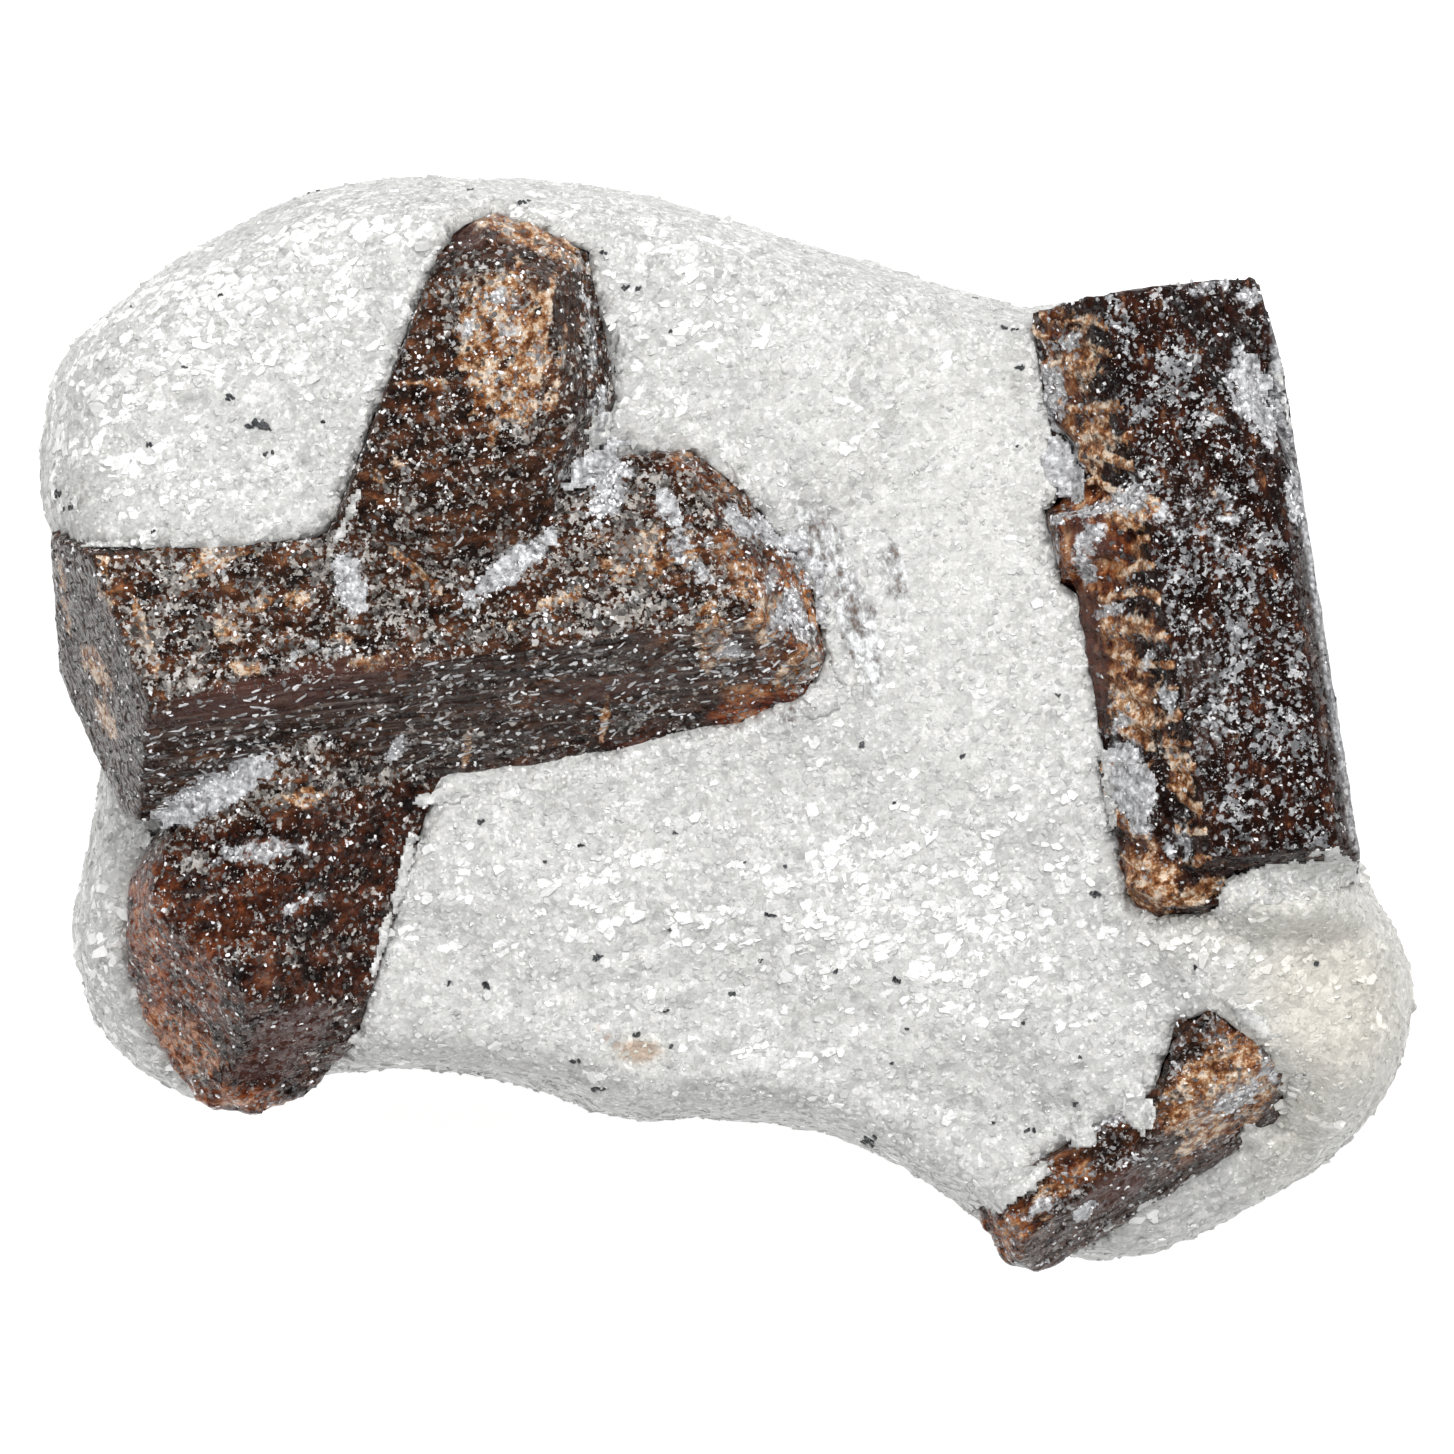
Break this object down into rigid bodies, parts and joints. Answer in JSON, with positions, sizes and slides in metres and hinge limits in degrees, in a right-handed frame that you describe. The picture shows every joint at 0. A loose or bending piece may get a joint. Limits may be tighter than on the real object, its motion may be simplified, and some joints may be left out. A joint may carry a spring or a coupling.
{
  "type": "staurolite cross",
  "caption": "Rounded lump of pale mica schist with a dark twinned staurolite cross and further broken staurolite crystals standing out of its front.",
  "frame": {"origin": "middle of the footprint box, on the flat back that the specimen lies on", "axes": "+X to the right of the picture along the longest side, +Y up the picture, +Z towards the viewer, up from the table"},
  "size_m": [0.0596, 0.0476, 0.0223],
  "materials": {
    "schist": "matte",
    "staurolite_cross": "satin",
    "staurolite_long": "satin",
    "staurolite_corner": "satin"
  },
  "bodies": {
    "root": {"schist_matrix": "schist", "cross_twin": "staurolite_cross", "long_crystal": "staurolite_long", "corner_crystal": "staurolite_corner"}
  },
  "joints": []
}
